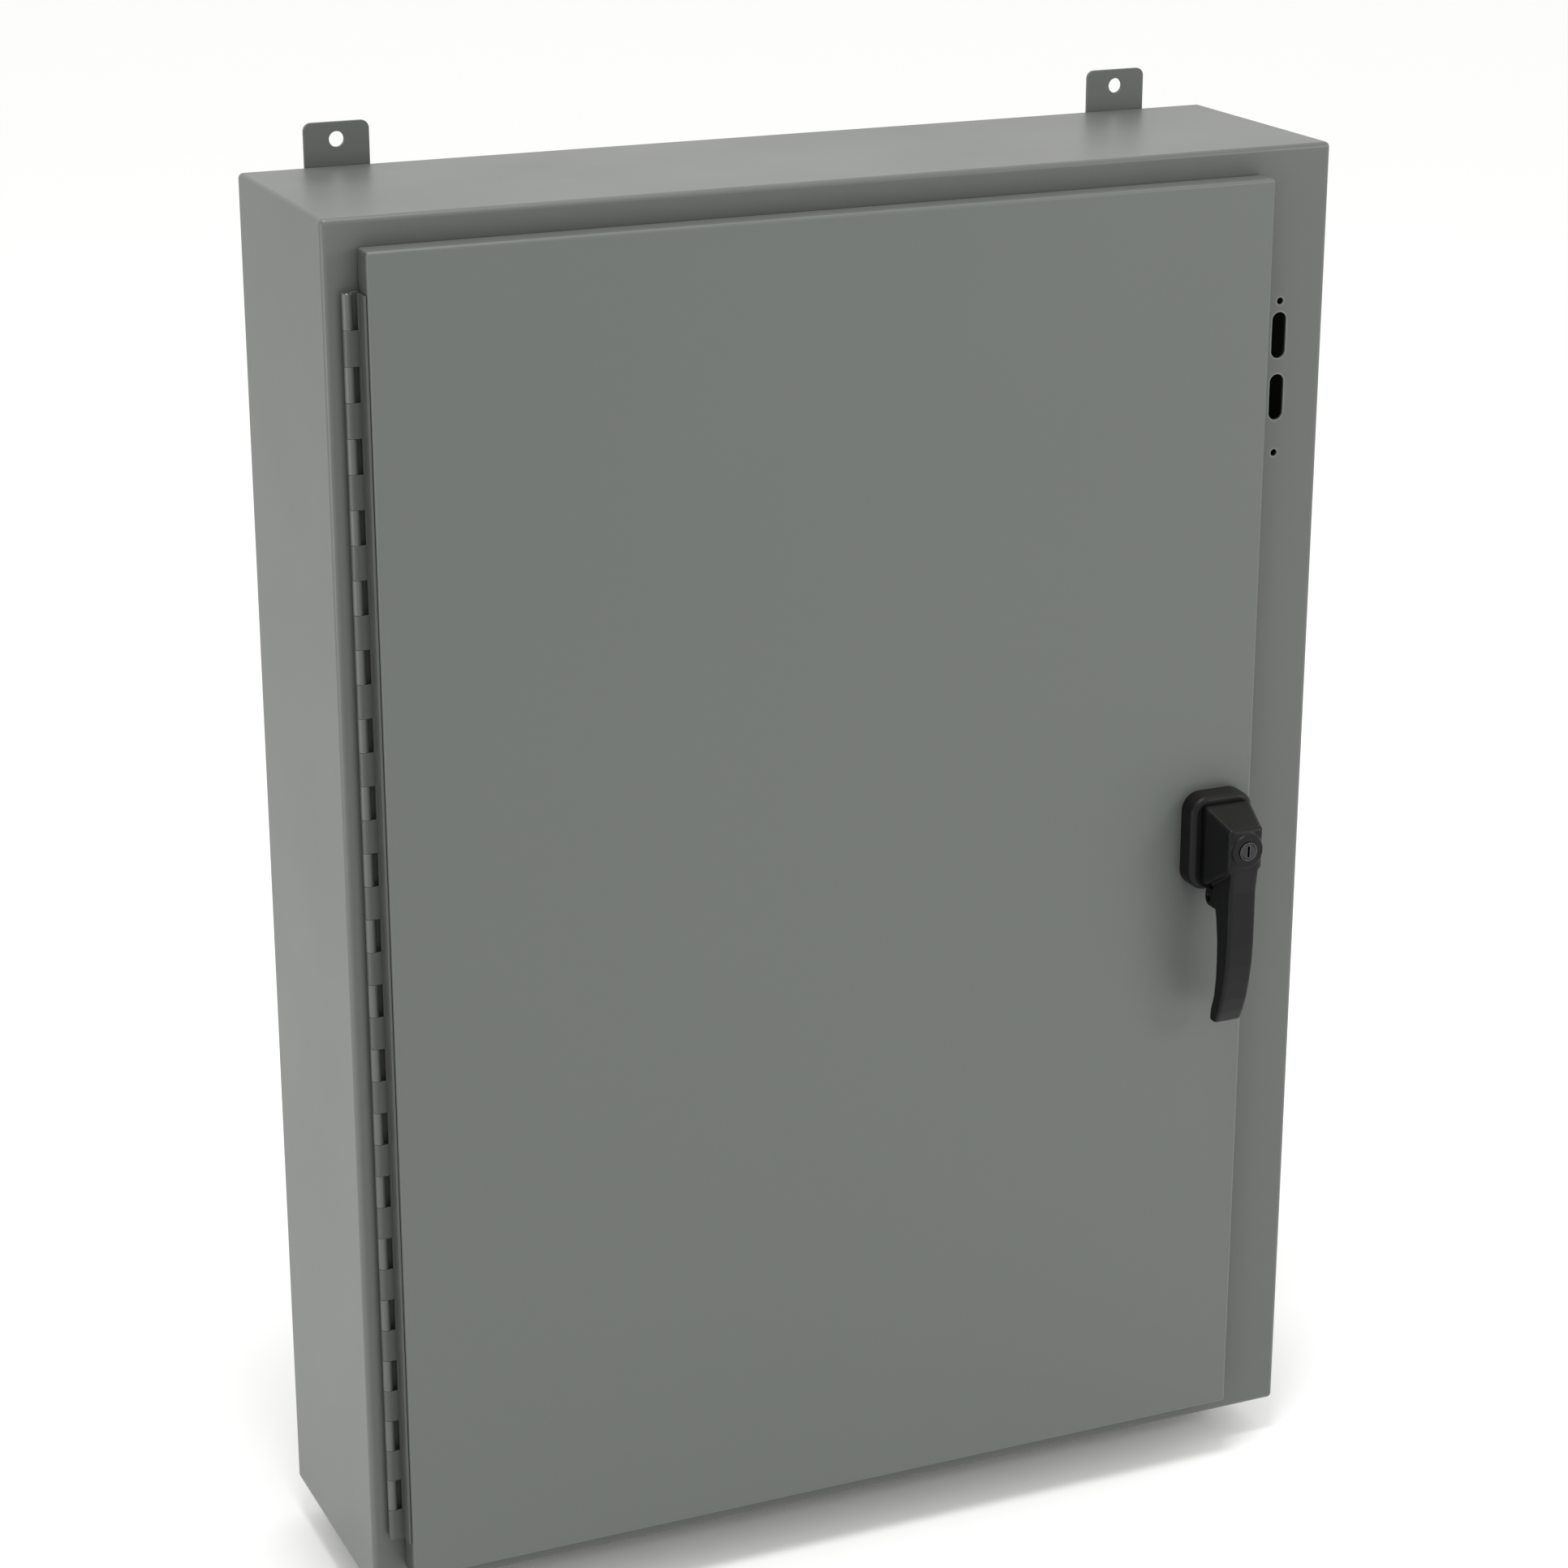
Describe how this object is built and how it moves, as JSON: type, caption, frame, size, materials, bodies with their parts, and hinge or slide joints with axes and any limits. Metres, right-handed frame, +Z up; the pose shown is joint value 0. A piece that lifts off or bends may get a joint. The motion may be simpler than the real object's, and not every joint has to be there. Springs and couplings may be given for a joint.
{
  "type": "automatic transfer switch",
  "caption": "Wall-hung steel cabinet with a hinged front door and rod latch, holding a motor-free solenoid transfer switch with its controller.",
  "frame": {"origin": "on the wall plane at the backs of the hanging lugs, on the cabinet centre line, at half its height", "axes": "+Z up, the door faces -Y, +X to the right of someone facing the door, +Y into the wall"},
  "size_m": [0.797, 0.2842, 1.1304],
  "materials": {
    "grey_powder_coat": "satin fine-texture powder coat",
    "zinc_steel": "zinc plated",
    "cast_zinc": "as cast",
    "lock_metal": "dulled chrome",
    "foam_gasket": "matte foam",
    "grey_plastic": "matte",
    "handle_black": "satin moulded",
    "nylon_black": "satin",
    "white_paint": "gloss enamel",
    "copper_bar": "bright copper",
    "aluminium_bar": "tin plated",
    "moulded_black": "moulded",
    "moulded_phenolic": "moulded thermoset",
    "red_grip": "gloss",
    "coil_wrap": "varnished tape",
    "transformer_core": "varnished laminations",
    "controller_case": "textured",
    "controller_face": "satin",
    "button_rubber": "matte",
    "wire_sleeve": "ribbed sleeve"
  },
  "bodies": {
    "cabinet": {"cabinet_body": "grey_powder_coat", "wall_lug_upper_left": "grey_powder_coat", "wall_lug_upper_right": "grey_powder_coat", "wall_lug_lower_left": "grey_powder_coat", "wall_lug_lower_right": "grey_powder_coat", "hinge_leaf_cabinet": "grey_powder_coat", "hinge_pin": "zinc_steel", "equipment_panel": "white_paint", "ground_bar": "copper_bar", "neutral_bar": "aluminium_bar", "transfer_frame": "zinc_steel", "arc_cover_normal": "moulded_black", "arc_cover_emergency": "moulded_black", "operator_coil": "coil_wrap", "control_transformer": "transformer_core", "fuse_block": "moulded_black", "terminal_strip": "moulded_black", "controller_housing": "controller_case", "controller_cover": "controller_face", "control_harness": "wire_sleeve", "panel_stud_1": "zinc_steel", "panel_stud_2": "zinc_steel", "panel_stud_3": "zinc_steel", "panel_stud_4": "zinc_steel", "pole_housing_1": "moulded_phenolic", "normal_lug_1": "aluminium_bar", "emergency_lug_1": "aluminium_bar", "load_lug_1": "aluminium_bar", "pole_housing_2": "moulded_phenolic", "normal_lug_2": "aluminium_bar", "emergency_lug_2": "aluminium_bar", "load_lug_2": "aluminium_bar", "pole_housing_3": "moulded_phenolic", "normal_lug_3": "aluminium_bar", "emergency_lug_3": "aluminium_bar", "load_lug_3": "aluminium_bar"},
    "door": {"door_panel": "grey_powder_coat", "door_gasket": "foam_gasket", "hinge_leaf_door": "grey_powder_coat", "print_pocket": "grey_plastic", "handle_base": "handle_black", "latch_gearbox": "cast_zinc", "rod_guide_upper": "nylon_black", "rod_guide_lower": "nylon_black"},
    "handle": {"handle_lever": "handle_black", "handle_spindle": "zinc_steel"},
    "lock_plug": {"lock_cylinder": "lock_metal"},
    "upper_rod": {"latch_rod_upper": "zinc_steel"},
    "lower_rod": {"latch_rod_lower": "zinc_steel"},
    "upper_roller": {"rod_roller_upper": "nylon_black"},
    "lower_roller": {"rod_roller_lower": "nylon_black"},
    "transfer_rotor": {"transfer_shaft": "zinc_steel", "manual_lever": "red_grip", "contact_arm_1": "copper_bar", "contact_arm_2": "copper_bar", "contact_arm_3": "copper_bar"},
    "plunger": {"operator_plunger": "zinc_steel"},
    "button_1": {"controller_button_1": "button_rubber"},
    "button_2": {"controller_button_2": "button_rubber"},
    "button_3": {"controller_button_3": "button_rubber"}
  },
  "joints": [
    {"name": "door_swing", "type": "hinge", "parent": "cabinet", "child": "door", "pos_m": [-0.38303, -0.2112, 0], "axis": [0, 0, -1], "range_deg": [0, 130]},
    {"name": "handle_turn", "type": "hinge", "parent": "door", "child": "handle", "pos_m": [0.30552, -0.2282, 0], "axis": [0, 1, 0], "range_deg": [0, 90]},
    {"name": "lock_turn", "type": "hinge", "parent": "handle", "child": "lock_plug", "pos_m": [0.30552, -0.2762, 0], "axis": [0, 1, 0], "range_deg": [0, 90]},
    {"name": "upper_rod_slide", "type": "slide", "parent": "door", "child": "upper_rod", "axis": [0, 0, 1], "range_m": [-0.0158, 0]},
    {"name": "lower_rod_slide", "type": "slide", "parent": "door", "child": "lower_rod", "axis": [0, 0, 1], "range_m": [0, 0.0158]},
    {"name": "upper_roller_spin", "type": "hinge", "parent": "upper_rod", "child": "upper_roller", "pos_m": [0.30552, -0.1958, 0.501], "axis": [1, 0, 0], "continuous": true},
    {"name": "lower_roller_spin", "type": "hinge", "parent": "lower_rod", "child": "lower_roller", "pos_m": [0.30552, -0.1958, -0.501], "axis": [1, 0, 0], "continuous": true},
    {"name": "transfer_turn", "type": "hinge", "parent": "cabinet", "child": "transfer_rotor", "pos_m": [-0.07, -0.072, 0.07], "axis": [1, 0, 0], "range_deg": [0, 50]},
    {"name": "plunger_slide", "type": "slide", "parent": "cabinet", "child": "plunger", "axis": [0, 0, 1], "range_m": [-0.0256, 0]},
    {"name": "button_1_press", "type": "slide", "parent": "cabinet", "child": "button_1", "axis": [0, 1, 0], "range_m": [0, 0.002], "stiffness_N_per_m": 300},
    {"name": "button_2_press", "type": "slide", "parent": "cabinet", "child": "button_2", "axis": [0, 1, 0], "range_m": [0, 0.002], "stiffness_N_per_m": 300},
    {"name": "button_3_press", "type": "slide", "parent": "cabinet", "child": "button_3", "axis": [0, 1, 0], "range_m": [0, 0.002], "stiffness_N_per_m": 300}
  ],
  "couplings": [
    {"joint": "upper_rod_slide", "follows": "handle_turn", "m_per_rad": -0.01},
    {"joint": "lower_rod_slide", "follows": "handle_turn", "m_per_rad": 0.01},
    {"joint": "plunger_slide", "follows": "transfer_turn", "m_per_rad": -0.029057}
  ]
}
